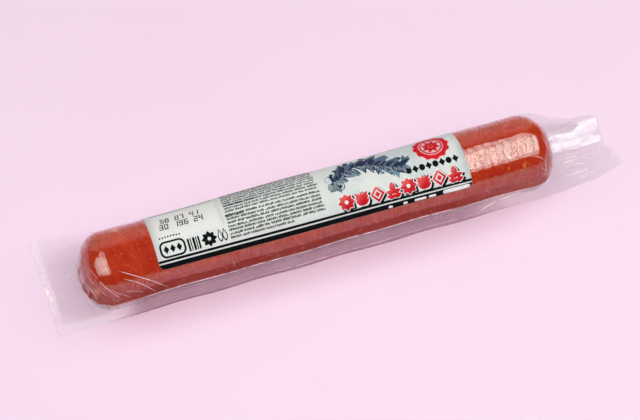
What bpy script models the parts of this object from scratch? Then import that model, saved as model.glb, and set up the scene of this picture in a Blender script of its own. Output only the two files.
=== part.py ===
"""A cured sausage shrunk into clear vacuum film, with a paper label stuck over its top.

The sausage lies along X with its more crumpled film tail at +X. The sealed pack is one solid: the
sausage with its clinging film, and the thin seam of film that runs out all round it at waist height.
"""

import math

import bpy

MM = 0.001

# The sausage, which lies on a narrow strip that its own weight has pressed flat
RADIUS = 22.0 * MM
REST_DEPTH = 0.8 * MM
LEFT_TIP = -142.0 * MM
RIGHT_TIP = 130.0 * MM
LEFT_CAP = 16.5 * MM
RIGHT_CAP = 17.0 * MM
CAP_POWER = 2.15
LEFT_LEAN = 0.05
RIGHT_LEAN = 0.06
SWELL = 0.25 * MM
SWELL_PITCH = 118.0 * MM

# The seam, two films pressed together
SEAM_LEFT = -162.0 * MM
SEAM_RIGHT = 162.0 * MM
SEAM_HALF_WIDTH = 31.5 * MM
SEAM_THICKNESS = 0.8 * MM
FILLET_THICKNESS = 3.0 * MM
FILLET_REACH = 1.5 * MM
BACK_SAG = 7.0 * MM
RIPPLE = 0.5 * MM
RIPPLE_PITCH = 46.0 * MM

# The right tail's end, as (flat y, folded y, rise) at its two edges and its two creases
TAIL_START = 120.5 * MM
TAIL_PLEATS = (
    (-SEAM_HALF_WIDTH, -30.0 * MM, 3.0 * MM),
    (-4.0 * MM, -4.0 * MM, -3.0 * MM),
    (9.0 * MM, 8.0 * MM, 4.0 * MM),
    (SEAM_HALF_WIDTH, 26.5 * MM, -18.5 * MM),
)
CURL_START = 144.5 * MM
CURL_RISE = 6.5 * MM

# The label, stuck on slightly askew: its far end lies lower round the sausage
LABEL_LEFT = -101.0 * MM
LABEL_RIGHT = 77.0 * MM
LABEL_FRONT = math.radians(36.0)
LABEL_BACK = math.radians(160.0)
LABEL_TWIST = math.radians(-6.0)
LABEL_THICKNESS = 0.3 * MM
LABEL_GAP = 0.3 * MM
LABEL_CORNER = 3.5 * MM

# Mesh steps
ROUND_STEPS = 48
CAP_STEPS = 9
LENGTH_STEPS = 26
TAIL_SIDE_STEPS = 7
TAIL_END_STEPS = 16
BURIED = -1.2 * MM
NEAR_STEPS = (0.3 * MM, 1.1 * MM, 2.4 * MM)
FAR_STEPS = 4
LABEL_LENGTH_STEPS = 26
LABEL_CORNER_STEPS = 4
LABEL_ROUND_STEPS = 16

AXIS_HEIGHT = RADIUS - REST_DEPTH
LEFT_SHOULDER = LEFT_TIP + LEFT_CAP
RIGHT_SHOULDER = RIGHT_TIP - RIGHT_CAP


def clear_scene():
    for item in list(bpy.data.objects):
        bpy.data.objects.remove(item)


def steps(low, high, count):
    """count + 1 evenly spaced values from low to high."""
    return [low + (high - low) * i / count for i in range(count + 1)]


def smooth(value):
    """0 below 0, 1 above 1, and an S-curve between."""
    value = min(max(value, 0.0), 1.0)
    return value * value * (3.0 - 2.0 * value)


def between(value, pairs):
    """Reads a line drawn through (position, height) pairs."""
    for (x0, y0), (x1, y1) in zip(pairs, pairs[1:]):
        if value <= x1:
            return y0 + (y1 - y0) * (value - x0) / (x1 - x0)
    return pairs[-1][1]


def radius_at(x):
    """The sausage's radius between its caps, slightly uneven along its length."""
    inside = smooth((x - LEFT_SHOULDER) / RADIUS) * smooth((RIGHT_SHOULDER - x) / RADIUS)
    return RADIUS - SWELL * inside * (1.0 + math.sin(2.0 * math.pi * x / SWELL_PITCH))


def cap_depth(share):
    """How far back from the tip the cap has reached this share of its full radius, from 0 to 1."""
    return 1.0 - (1.0 - share**CAP_POWER) ** (1.0 / CAP_POWER)


def rings():
    """Each ring along the sausage as (x, radius, lean), without the two tips."""
    shares = [math.sin(0.5 * math.pi * i / CAP_STEPS) for i in range(1, CAP_STEPS)]
    left = [(LEFT_TIP + LEFT_CAP * cap_depth(s), RADIUS * s, LEFT_LEAN * (1.0 - s**4)) for s in shares]
    middle = [(x, radius_at(x), 0.0) for x in steps(LEFT_SHOULDER, RIGHT_SHOULDER, LENGTH_STEPS)]
    right = [(RIGHT_TIP - RIGHT_CAP * cap_depth(s), RADIUS * s, RIGHT_LEAN * (1.0 - s**4)) for s in shares]
    return left + middle + right[::-1]


def ring_point(x, radius, lean, angle):
    """A point of the sausage's skin: angle 0 faces the front, and 90 degrees faces up."""
    rise = radius * math.sin(angle)
    return (x + lean * rise, -radius * math.cos(angle), max(AXIS_HEIGHT + rise, 0.0))


def make_object(name, points, faces):
    mesh = bpy.data.meshes.new(name)
    mesh.from_pydata(points, [], faces)
    item = bpy.data.objects.new(name, mesh)
    bpy.context.scene.collection.objects.link(item)
    return item


def shade(item, angle):
    item.data.shade_smooth()
    item.data.set_sharp_from_angle(angle=math.radians(angle))


def add_material(item, name, colour, roughness):
    material = bpy.data.materials.new(name)
    material.use_nodes = True
    shader = material.node_tree.nodes["Principled BSDF"]
    shader.inputs["Base Color"].default_value = (*colour, 1.0)
    shader.inputs["Roughness"].default_value = roughness
    shader.inputs["Metallic"].default_value = 0.0
    item.data.materials.clear()
    item.data.materials.append(material)


def make_sausage():
    """The sausage in its clinging film, as rings closed by a fan at each tip."""
    angles = [2.0 * math.pi * k / ROUND_STEPS for k in range(ROUND_STEPS)]
    along = rings()
    points = [ring_point(*ring, angle) for ring in along for angle in angles]
    faces = []
    for i in range(len(along) - 1):
        for k in range(ROUND_STEPS):
            a = i * ROUND_STEPS + k
            b = i * ROUND_STEPS + (k + 1) % ROUND_STEPS
            faces.append((a, b, b + ROUND_STEPS, a + ROUND_STEPS))
    left, right = len(points), len(points) + 1
    points += [(LEFT_TIP, 0.0, AXIS_HEIGHT), (RIGHT_TIP, 0.0, AXIS_HEIGHT)]
    last = (len(along) - 1) * ROUND_STEPS
    for k in range(ROUND_STEPS):
        after = (k + 1) % ROUND_STEPS
        faces.append((left, after, k))
        faces.append((right, last + k, last + after))
    return make_object("vacuum_pack", points, faces)


def seam_place(x, y):
    """Where a point of the flat seam has moved to, as (y, rise above waist height)."""
    side = abs(y) / SEAM_HALF_WIDTH
    right = smooth((x - TAIL_START) / (SEAM_RIGHT - TAIL_START))
    left = smooth((LEFT_SHOULDER - x) / (LEFT_SHOULDER - SEAM_LEFT))
    outward = smooth((abs(y) - RADIUS) / (SEAM_HALF_WIDTH - RADIUS))
    sag = -BACK_SAG * outward * (1.0 - left) * (1.0 - right) if y > 0.0 else 0.0
    curl = CURL_RISE * smooth((x - CURL_START) / (SEAM_RIGHT - CURL_START)) * smooth(-y / SEAM_HALF_WIDTH)
    ripple = RIPPLE * side * math.sin(2.0 * math.pi * x / RIPPLE_PITCH + 2.0 * side)
    folded = between(y, [(flat, moved) for flat, moved, rise in TAIL_PLEATS])
    rise = between(y, [(flat, rise) for flat, moved, rise in TAIL_PLEATS])
    return y + right * (folded - y), sag + curl + ripple + right * rise


def seam_thickness(distance):
    """The two films part next to the sausage, so the seam is thicker there."""
    return SEAM_THICKNESS + FILLET_THICKNESS * math.exp(-max(distance, 0.0) / FILLET_REACH)


def seam_rays():
    """Pairs of points in plan, anticlockwise: one on the sausage's outline, and one on the seam's edge."""
    rays = []
    front = steps(LEFT_SHOULDER, RIGHT_SHOULDER, LENGTH_STEPS)
    rays += [((x, -radius_at(x)), (x, -SEAM_HALF_WIDTH)) for x in front]
    rays += tail_rays(RIGHT_SHOULDER, RIGHT_CAP, SEAM_RIGHT, -1.0)
    rays += [((x, radius_at(x)), (x, SEAM_HALF_WIDTH)) for x in reversed(front)]
    rays += tail_rays(LEFT_SHOULDER, -LEFT_CAP, SEAM_LEFT, 1.0)
    return rays


def tail_rays(shoulder, cap, end, first_side):
    """The rays from one cap to the three edges of its tail, without those at its shoulders."""
    near = first_side * SEAM_HALF_WIDTH
    side = [(x, near) for x in steps(shoulder, end, TAIL_SIDE_STEPS)[1:]]
    edge = side + [(end, y) for y in steps(near, -near, TAIL_END_STEPS)[1:-1]]
    edge += [(x, -y) for x, y in reversed(side)]
    rays = []
    for i, outer in enumerate(edge):
        turn = math.pi * (i + 1) / (len(edge) + 1)
        share = math.cos(turn)
        depth = cap * (1.0 - cap_depth(abs(share)))
        rays.append(((shoulder + depth, first_side * RADIUS * share), outer))
    return rays


def seam_section(inner, outer):
    """One closed loop across the seam along a ray: out over its top, and back under it."""
    run = math.dist(inner, outer)
    rest = run - NEAR_STEPS[-1]
    distances = [BURIED, *NEAR_STEPS]
    distances += [NEAR_STEPS[-1] + rest * i / FAR_STEPS for i in range(1, FAR_STEPS + 1)]
    top, bottom = [], []
    for distance in distances:
        x = inner[0] + (outer[0] - inner[0]) * distance / run
        y = inner[1] + (outer[1] - inner[1]) * distance / run
        y, rise = seam_place(x, y)
        half = 0.5 * seam_thickness(distance)
        top.append((x, y, AXIS_HEIGHT + rise + half))
        bottom.append((x, y, AXIS_HEIGHT + rise - half))
    return top + bottom[::-1]


def make_seam():
    """The seam as a flat ring round the sausage, its inner edge buried in it."""
    sections = [seam_section(inner, outer) for inner, outer in seam_rays()]
    size = len(sections[0])
    points = [point for section in sections for point in section]
    faces = []
    for i in range(len(sections)):
        here, after = i * size, (i + 1) % len(sections) * size
        for k in range(size):
            step = (k + 1) % size
            faces.append((here + k, here + step, after + step, after + k))
    return make_object("seam", points, faces)


def join(item, other):
    """Fuses other into item, and removes it."""
    union = item.modifiers.new("Union", "BOOLEAN")
    union.operation = "UNION"
    union.object = other
    fused = bpy.data.meshes.new_from_object(item.evaluated_get(bpy.context.evaluated_depsgraph_get()))
    item.modifiers.clear()
    item.data = fused
    bpy.data.objects.remove(other)


def label_stations():
    """Stations along the label as (x, trim): its rounded corners trim its two long edges there."""
    turns = [0.5 * math.pi * i / LABEL_CORNER_STEPS for i in range(LABEL_CORNER_STEPS)]
    corner = [(LABEL_CORNER * (1.0 - math.cos(t)), LABEL_CORNER * (1.0 - math.sin(t))) for t in turns]
    middle = steps(LABEL_LEFT + LABEL_CORNER, LABEL_RIGHT - LABEL_CORNER, LABEL_LENGTH_STEPS)
    stations = [(LABEL_LEFT + inset, trim) for inset, trim in corner]
    stations += [(x, 0.0) for x in middle]
    return stations + [(LABEL_RIGHT - inset, trim) for inset, trim in reversed(corner)]


def make_label():
    """The label as a sheet bent round the sausage, with Solidify for its paper."""
    along = label_stations()
    points = []
    for x, trim in along:
        radius = radius_at(x) + LABEL_GAP
        turn = trim / RADIUS
        twist = LABEL_TWIST * (x - LABEL_LEFT) / (LABEL_RIGHT - LABEL_LEFT)
        for angle in steps(LABEL_FRONT + turn + twist, LABEL_BACK - turn + twist, LABEL_ROUND_STEPS):
            points.append((x, -radius * math.cos(angle), AXIS_HEIGHT + radius * math.sin(angle)))
    row = LABEL_ROUND_STEPS + 1
    faces = []
    for i in range(len(along) - 1):
        for k in range(LABEL_ROUND_STEPS):
            a = i * row + k
            faces.append((a, a + row, a + row + 1, a + 1))
    item = make_object("label", points, faces)
    paper = item.modifiers.new("Paper", "SOLIDIFY")
    paper.thickness = LABEL_THICKNESS
    paper.offset = 1.0
    return item


def main():
    clear_scene()
    pack = make_sausage()
    join(pack, make_seam())
    shade(pack, 40.0)
    add_material(pack, "sausage_in_film", (0.42, 0.045, 0.014), 0.22)
    label = make_label()
    shade(label, 40.0)
    add_material(label, "label_paper", (0.74, 0.75, 0.73), 0.55)


main()
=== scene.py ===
"""A cured sausage shrunk into clear vacuum film, with a paper label stuck over its top: its looks.

Lengths are in millimetres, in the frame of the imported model, and become metres in make_piece. The
materials and the studio are in metres. The sausage lies along X with its more crumpled tail at +X, and
angle 0 round it faces the front (-Y).
"""

import math
import random
from functools import reduce

import bmesh
import bpy
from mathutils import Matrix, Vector, noise
from mathutils.geometry import tessellate_polygon


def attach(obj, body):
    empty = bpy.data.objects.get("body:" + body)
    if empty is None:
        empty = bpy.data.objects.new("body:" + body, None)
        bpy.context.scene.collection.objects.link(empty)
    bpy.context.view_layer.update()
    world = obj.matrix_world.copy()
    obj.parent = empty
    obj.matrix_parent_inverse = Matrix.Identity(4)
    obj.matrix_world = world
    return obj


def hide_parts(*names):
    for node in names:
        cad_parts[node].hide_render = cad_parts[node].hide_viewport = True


MM = 0.001

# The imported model's own form, which the visible pieces follow
RADIUS = 22.0
AXIS_HEIGHT = 21.2
LEFT_TIP = -142.0
RIGHT_TIP = 130.0
LEFT_CAP = 16.5
RIGHT_CAP = 17.0
CAP_POWER = 2.15
LEFT_LEAN = 0.05
RIGHT_LEAN = 0.06
SWELL = 0.25
SWELL_PITCH = 118.0
SEAM_LEFT = -162.0
SEAM_RIGHT = 162.0
SEAM_HALF_WIDTH = 31.5
BACK_SAG = 7.0
RIPPLE = 0.5
RIPPLE_PITCH = 46.0
TAIL_START = 120.5
TAIL_PLEATS = ((-31.5, -30.0, 3.0), (-4.0, -4.0, -3.0), (9.0, 8.0, 4.0), (31.5, 26.5, -18.5))
CURL_START = 144.5
CURL_RISE = 6.5
LABEL_LEFT = -101.0
LABEL_RIGHT = 77.0
LABEL_FRONT = math.radians(36.0)
LABEL_BACK = math.radians(160.0)
LABEL_TWIST = math.radians(-6.0)
LABEL_CORNER = 3.5
LEFT_SHOULDER = LEFT_TIP + LEFT_CAP
RIGHT_SHOULDER = RIGHT_TIP - RIGHT_CAP

# How the layers lie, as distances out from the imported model's skin
MEAT_DEPTH = 0.1
MEAT_RELIEF = 0.14
FILM_OUT = 0.04
FILM_THICKNESS = 0.07
FILM_GAP = 0.16
FILM_RELIEF = 0.05
LABEL_OUT = 0.17
PAPER_THICKNESS = 0.12
INK_THICKNESS = 0.02
INK_LIFT = 0.012
LABEL_WAVE = 0.05

# The share of light that each face of the film mirrors when seen straight on
FILM_MIRROR = 0.036

# The pitch of the seam's diamond knurl, in metres
KNURL_PITCH = 0.0030

# The colour of the lights that are only mirrored
MIRRORED_TINT = (0.84, 1.0, 0.93)

# The camera
CAMERA_PLACE = (-227.9, -651.6, 1027.0)
CAMERA_AIM = (0.1828, 0.5348, -0.8249)
LENS = 124.65
SENSOR = 36.0


def steps(low, high, count):
    """count + 1 evenly spaced values from low to high."""
    return [low + (high - low) * i / count for i in range(count + 1)]


def smooth(value):
    """0 below 0, 1 above 1, and an S-curve between."""
    value = min(max(value, 0.0), 1.0)
    return value * value * (3.0 - 2.0 * value)


def mix(a, b, share):
    """The point this share of the way from a to b."""
    return tuple(p + (q - p) * share for p, q in zip(a, b))


def between(value, pairs):
    """Reads a line drawn through (position, height) pairs."""
    for (x0, y0), (x1, y1) in zip(pairs, pairs[1:]):
        if value <= x1:
            return y0 + (y1 - y0) * (value - x0) / (x1 - x0)
    return pairs[-1][1]


def wobble(x, y, z=0.0):
    """Smooth noise from -1 to 1 with features about one unit apart."""
    return noise.noise(Vector((x, y, z)))


# The form of the sausage and of its seam


def radius_at(x):
    """The sausage's radius between its caps, slightly uneven along its length."""
    inside = smooth((x - LEFT_SHOULDER) / RADIUS) * smooth((RIGHT_SHOULDER - x) / RADIUS)
    return RADIUS - SWELL * inside * (1.0 + math.sin(2.0 * math.pi * x / SWELL_PITCH))


def cap_depth(share):
    """How far back from the tip the cap has reached this share of its full radius, from 0 to 1."""
    return 1.0 - (1.0 - share**CAP_POWER) ** (1.0 / CAP_POWER)


def share_at(x):
    """The share of its full radius that the sausage has at x: 1 between the caps, 0 past the tips."""
    depth = max((LEFT_SHOULDER - x) / LEFT_CAP, (x - RIGHT_SHOULDER) / RIGHT_CAP, 0.0)
    return (1.0 - min(depth, 1.0) ** CAP_POWER) ** (1.0 / CAP_POWER)


def lean_at(x):
    """How far the caps tilt towards +X for each unit of height above the axis."""
    lean = LEFT_LEAN if x < 0.0 else RIGHT_LEAN
    return lean * (1.0 - share_at(x) ** 4)


def round_axis(x, radius, angle):
    """The point this far out from the sausage's axis, moved along by the tilt of the caps."""
    rise = radius * math.sin(angle)
    return (x + lean_at(x) * rise, -radius * math.cos(angle), AXIS_HEIGHT + rise)


def seam_place(x, y):
    """Where a point of the flat seam has moved to, as (y, rise above waist height)."""
    side = abs(y) / SEAM_HALF_WIDTH
    right = smooth((x - TAIL_START) / (SEAM_RIGHT - TAIL_START))
    left = smooth((LEFT_SHOULDER - x) / (LEFT_SHOULDER - SEAM_LEFT))
    outward = smooth((abs(y) - RADIUS) / (SEAM_HALF_WIDTH - RADIUS))
    sag = -BACK_SAG * outward * (1.0 - left) * (1.0 - right) if y > 0.0 else 0.0
    curl = CURL_RISE * smooth((x - CURL_START) / (SEAM_RIGHT - CURL_START)) * smooth(-y / SEAM_HALF_WIDTH)
    ripple = RIPPLE * side * math.sin(2.0 * math.pi * x / RIPPLE_PITCH + 2.0 * side)
    folded = between(y, [(flat, moved) for flat, moved, rise in TAIL_PLEATS])
    rise = between(y, [(flat, rise) for flat, moved, rise in TAIL_PLEATS])
    return y + right * (folded - y), sag + curl + ripple + right * rise


# Making pieces


def make_piece(name, points, faces, node, material):
    """An object from points in millimetres, which rides on the part and stands for this node."""
    mesh = bpy.data.meshes.new(name)
    mesh.from_pydata([(x * MM, y * MM, z * MM) for x, y, z in points], [], faces)
    mesh.validate()
    mesh.shade_smooth()
    mesh.materials.append(material)
    piece = bpy.data.objects.new(name, mesh)
    bpy.context.scene.collection.objects.link(piece)
    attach(piece, "root")
    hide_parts(node)
    return piece


def thicken(piece, thickness, offset=0.0):
    """Gives a sheet its thickness."""
    modifier = piece.modifiers.new("Thickness", "SOLIDIFY")
    modifier.thickness = thickness * MM
    modifier.offset = offset


def point_values(piece, name, values):
    """Stores one number for each point of a piece, which its material reads by name."""
    attribute = piece.data.attributes.new(name, "FLOAT", "POINT")
    attribute.data.foreach_set("value", values)


def push_out(piece, distance_at, floor):
    """Moves each point along its normal by distance_at(point), in millimetres, and keeps it above floor."""
    normals = [vertex.normal.copy() for vertex in piece.data.vertices]
    for vertex, normal in zip(piece.data.vertices, normals):
        vertex.co += normal * distance_at(vertex.co / MM) * MM
        vertex.co.z = max(vertex.co.z, floor * MM)


# Materials


class Nodes:
    """A material's node tree, with short ways to add and join nodes."""

    def __init__(self, name):
        self.material = bpy.data.materials.new(name)
        self.material.use_nodes = True
        self.tree = self.material.node_tree
        self.shader = self.tree.nodes["Principled BSDF"]

    def add(self, kind, values=(), **settings):
        """Adds a node, and puts a value in each socket that values names or numbers."""
        node = self.tree.nodes.new(kind)
        for key, value in settings.items():
            setattr(node, key, value)
        for socket, value in dict(values).items():
            self.put(node.inputs[socket], value)
        return node

    def put(self, socket, value):
        """Joins another node's output to a socket, or sets its number, vector or colour."""
        if isinstance(value, bpy.types.NodeSocket):
            self.tree.links.new(value, socket)
        else:
            socket.default_value = (*value, 1.0) if socket.type == "RGBA" else value

    def surface(self, colour, roughness, specular, normal=None):
        """Sets the plain shader, and gives back the material."""
        sockets = self.shader.inputs
        self.put(sockets["Base Color"], colour)
        self.put(sockets["Roughness"], roughness)
        sockets["Specular IOR Level"].default_value = specular
        if normal:
            self.put(sockets["Normal"], normal)
        return self.material

    def show(self, shader):
        """Puts a shader on the surface, and gives back the material."""
        self.put(self.tree.nodes["Material Output"].inputs["Surface"], shader)
        return self.material

    def place(self, *scale):
        """Coordinates on the object itself, in metres, scaled along each axis if scale is given."""
        place = self.add("ShaderNodeTexCoord").outputs["Object"]
        if scale:
            place = self.add("ShaderNodeMapping", {"Vector": place, "Scale": scale}).outputs[0]
        return place

    def axes(self):
        """The three coordinates on the object, each by itself."""
        return self.add("ShaderNodeSeparateXYZ", {"Vector": self.place()}).outputs

    def stored(self, name):
        """The number that the piece stores at each of its points under this name."""
        return self.add("ShaderNodeAttribute", attribute_name=name).outputs["Fac"]

    def math(self, operation, *values):
        return self.add("ShaderNodeMath", dict(enumerate(values)), operation=operation).outputs[0]

    def times(self, *values):
        return reduce(lambda a, b: self.math("MULTIPLY", a, b), values)

    def plus(self, *values):
        return reduce(lambda a, b: self.math("ADD", a, b), values)

    def noise(self, scale, detail=2.0, roughness=0.5, place=None):
        values = {"Scale": scale, "Detail": detail, "Roughness": roughness}
        values["Vector"] = place or self.place()
        return self.add("ShaderNodeTexNoise", values).outputs["Fac"]

    def grey(self, value, low, first, high, second):
        """Runs from first, where value is at low, to second where it is at high."""
        return self.ramp(value, (low, (first,) * 3), (high, (second,) * 3))

    def ramp(self, value, *stops):
        """A colour ramp through (position, colour) stops."""
        node = self.add("ShaderNodeValToRGB", {"Fac": value})
        elements = node.color_ramp.elements
        while len(elements) < len(stops):
            elements.new(0.5)
        for element, (position, colour) in zip(elements, stops):
            element.position = position
            element.color = (*colour, 1.0)
        return node.outputs["Color"]

    def window(self, value, low, high):
        """0 where value is at low, 1 where it is at high, and a smooth step between."""
        values = {"Value": value, "From Min": low, "From Max": high}
        return self.add("ShaderNodeMapRange", values, interpolation_type="SMOOTHSTEP").outputs["Result"]

    def blend(self, share, first, second):
        """Mixes two colours."""
        return self.add("ShaderNodeMix", {0: share, 6: first, 7: second}, data_type="RGBA").outputs[2]

    def layers(self, share, first, second):
        """Mixes two shaders."""
        sockets = {0: share, 1: first.outputs[0], 2: second.outputs[0]}
        return self.add("ShaderNodeMixShader", sockets)

    def mirror_share(self, normal):
        """How much film mirrors, the same from both of its sides: little face on, all at a glance."""
        glance = self.add("ShaderNodeLayerWeight", {"Blend": 0.5, "Normal": normal}).outputs["Facing"]
        return self.plus(self.times(self.math("POWER", glance, 5.0), 1.0 - FILM_MIRROR), FILM_MIRROR)

    def bump(self, height, distance, strength=1.0):
        values = {"Height": height, "Distance": distance, "Strength": strength}
        return self.add("ShaderNodeBump", values).outputs["Normal"]

    def flecks(self, scale, size, edge, rarity, seed):
        """Scattered specks, 1 inside and 0 outside. size and edge are shares of their spacing."""
        moved = {"Vector": self.place(), "Location": (seed, -seed, 2.0 * seed)}
        place = self.add("ShaderNodeMapping", moved).outputs[0]
        ragged = self.add("ShaderNodeTexNoise", {"Vector": place, "Scale": scale * 3.0}).outputs["Color"]
        warp = self.add("ShaderNodeVectorMath", {0: ragged, "Scale": FLECK_WARP / scale}, operation="SCALE")
        spot = self.add("ShaderNodeVectorMath", {0: place, 1: warp.outputs[0]}, operation="ADD")
        cells = self.add("ShaderNodeTexVoronoi", {"Vector": spot.outputs[0], "Scale": scale})
        chance = self.add("ShaderNodeSeparateColor", {"Color": cells.outputs["Color"]}).outputs[0]
        reach = self.times(self.math("SUBTRACT", chance, rarity), size / (1.0 - rarity))
        return self.window(self.math("SUBTRACT", cells.outputs["Distance"], reach), edge, 0.0)


# The meat's colours: its mottled reds, patches of orange fat, and painted shade that darkens its lower half
MEAT_REDS = ((0.30, (0.345, 0.018, 0.0035)), (0.52, (0.425, 0.029, 0.0055)), (0.75, (0.500, 0.054, 0.015)))
MEAT_ORANGE = (0.520, 0.046, 0.008)
MEAT_PAINTED_SHADE = (0.240, 0.012, 0.0045)

# Specks in the meat: how many to a metre, size, soft edge, rarity, seed, strength and colour
FLECKS = (
    (620.0, 0.30, 0.16, 0.50, 0.31, 0.32, (0.62, 0.17, 0.09)),
    (210.0, 0.26, 0.10, 0.62, 0.13, 0.42, (0.60, 0.11, 0.022)),
    (92.0, 0.27, 0.08, 0.62, 0.57, 0.70, (0.68, 0.185, 0.018)),
)

# How far a speck's outline strays, as a share of the spacing of the specks
FLECK_WARP = 0.60


def meat_material():
    """Smoked meat seen through its casing: mottled red, with orange fat, small pale specks, and painted
    shade low down.
    """
    nodes = Nodes("cured_meat")
    mottle = nodes.noise(110.0, 6.0, 0.62)
    cloud = nodes.window(nodes.noise(30.0, 3.0), 0.44, 0.72)
    # Painted shade: the meat's colour is darker towards the bottom of the sausage
    under = nodes.window(nodes.axes()[2], 0.039, 0.020)
    colour = nodes.blend(nodes.times(cloud, 0.45), nodes.ramp(mottle, *MEAT_REDS), MEAT_ORANGE)
    colour = nodes.blend(nodes.times(under, 0.45), colour, MEAT_PAINTED_SHADE)
    for *form, strength, tint in FLECKS:
        colour = nodes.blend(nodes.times(nodes.flecks(*form), strength), colour, tint)
    roughness = nodes.grey(mottle, 0.2, 0.46, 0.8, 0.60)
    return nodes.surface(colour, roughness, 0.04, nodes.bump(nodes.noise(420.0, 5.0, 0.6), 0.00025, 0.5))


# Where the film's looks change, from not at all to fully: along the pack (X) or across it (Y), in metres
FRONT_SEAM = (-0.0185, -0.0225)
STRIP_LEFT = (-0.136, -0.112)
STRIP_RIGHT = (0.126, 0.062)
STRIP_EDGE_SHADOW = (-0.0307, -0.0311)
TAIL_EDGE = (-0.0245, -0.0275)
END_SEAL = (-0.1565, -0.1590)
RIGHT_TAIL = (0.112, 0.128)
KNURL_FADE = (0.040, -0.070)
STREAKS_START = (0.120, 0.130)

# The film's colours. The strip is the knurled part of the front seam; its hazy colours are partly painted
# shade
GLOSS_TINT = (0.98, 0.98, 0.98)
FILM_TINT = (0.999, 0.994, 0.997)
STRIP_SHADE_TINT = (0.985, 0.900, 0.930)
HAZE_TINT = (0.96, 0.86, 0.93)
KNURL_AND_SHADE_DARK = (0.07, 0.025, 0.050)
KNURL_AND_SHADE_LIGHT = (0.60, 0.445, 0.515)
# The tint of the line along the strip's outer edge: partly the film's cut edge, partly painted shadow
EDGE_SHADOW_TINT = (0.26, 0.11, 0.18)


def film_material():
    """Clear, finely crinkled film that mirrors by its angle. Its front seam is hazy and knurled, with
    painted shade in its haze.
    """
    nodes = Nodes("clear_film")
    nodes.tree.nodes.remove(nodes.shader)
    along, across = nodes.axes()[:2]
    seam = nodes.stored("seam")
    front = nodes.times(nodes.window(seam, 0.55, 1.0), nodes.window(across, *FRONT_SEAM))
    strip = nodes.times(front, nodes.window(along, *STRIP_LEFT), nodes.window(along, *STRIP_RIGHT))
    tail = nodes.times(front, nodes.window(along, *reversed(STRIP_LEFT)))
    edge = nodes.times(tail, nodes.window(across, *TAIL_EDGE))
    end = nodes.times(nodes.window(along, *END_SEAL), 0.8)
    # A thin dark line along the strip's outer edge, partly painted shadow
    rim = nodes.times(strip, nodes.window(across, *STRIP_EDGE_SHADOW))

    turn = 2.0 * math.pi / KNURL_PITCH
    one = nodes.math("SINE", nodes.times(nodes.plus(along, across), turn))
    other = nodes.math("SINE", nodes.times(nodes.math("SUBTRACT", along, across), turn))
    fading = nodes.plus(0.25, nodes.times(nodes.window(along, *KNURL_FADE), 0.75))
    knurl = nodes.times(one, other, strip, fading)

    crinkle = nodes.noise(310.0, 1.0)
    lines = nodes.noise(1000.0, 1.0, 0.5, nodes.place(1.0, 0.14, 0.14))
    taut = nodes.math("SUBTRACT", 1.0, nodes.times(seam, 0.75))
    height = nodes.times(nodes.plus(nodes.times(crinkle, 1.1), nodes.times(lines, 0.25)), taut)
    normal = nodes.bump(nodes.plus(height, nodes.times(knurl, 0.30)), 0.00010)

    speckle = nodes.times(nodes.window(nodes.noise(1150.0, 2.0, 0.6), 0.40, 0.66), 0.85)
    glints = nodes.times(nodes.window(lines, 0.36, 0.62), 0.65)
    streaks = nodes.window(nodes.noise(430.0, 2.0, 0.6, nodes.place(0.10, 1.0, 1.0)), 0.36, 0.58)
    still = nodes.plus(0.20, nodes.times(streaks, nodes.window(along, *STREAKS_START), 0.30))
    calm = nodes.math("SUBTRACT", 1.0, nodes.times(seam, nodes.math("SUBTRACT", 1.0, still)))
    mirrored = nodes.times(nodes.mirror_share(normal), nodes.times(nodes.plus(speckle, glints, 0.55), calm))

    # The strip's haze and knurl dots are partly painted shade, dark and purple like the shadowed floor
    # beneath it
    dots = nodes.blend(nodes.window(knurl, -0.45, 0.45), KNURL_AND_SHADE_DARK, KNURL_AND_SHADE_LIGHT)
    colour = nodes.blend(rim, nodes.blend(strip, HAZE_TINT, dots), EDGE_SHADOW_TINT)
    seal = nodes.math("MAXIMUM", nodes.math("MAXIMUM", edge, end), nodes.times(tail, 0.25))
    right = nodes.times(seam, nodes.window(along, *RIGHT_TAIL), 0.03)
    milk = nodes.plus(nodes.times(strip, 0.30), nodes.times(knurl, 0.05), nodes.times(seal, 0.085))
    milk = nodes.plus(milk, right, 0.0015)

    clear = nodes.add("ShaderNodeBsdfTransparent", {"Color": nodes.blend(strip, FILM_TINT, STRIP_SHADE_TINT)})
    haze = nodes.add("ShaderNodeBsdfDiffuse", {"Color": colour, "Normal": normal})
    shine = {"Color": GLOSS_TINT, "Roughness": 0.07, "Normal": normal}
    gloss = nodes.add("ShaderNodeBsdfAnisotropic", shine)
    return nodes.show(nodes.layers(mirrored, nodes.layers(milk, clear, haze), gloss).outputs[0])


def crease_material():
    """Film doubled over in a sharp crease, whitened where it is stretched, and pale as a painted highlight
    on each fold.
    """
    nodes = Nodes("film_crease")
    # Partly painted highlight: the pale colour stands in for the bright glint along each fold, besides the
    # film's whitening
    nodes.put(nodes.shader.inputs["Base Color"], (0.98, 0.88, 0.86))
    nodes.shader.inputs["Roughness"].default_value = 0.2
    grain = nodes.times(nodes.window(nodes.noise(260.0, 3.0), 0.22, 0.62), 0.9)
    clear = nodes.add("ShaderNodeBsdfTransparent", {"Color": (0.99, 0.98, 0.99)})
    return nodes.show(nodes.layers(grain, clear, nodes.shader).outputs[0])


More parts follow.
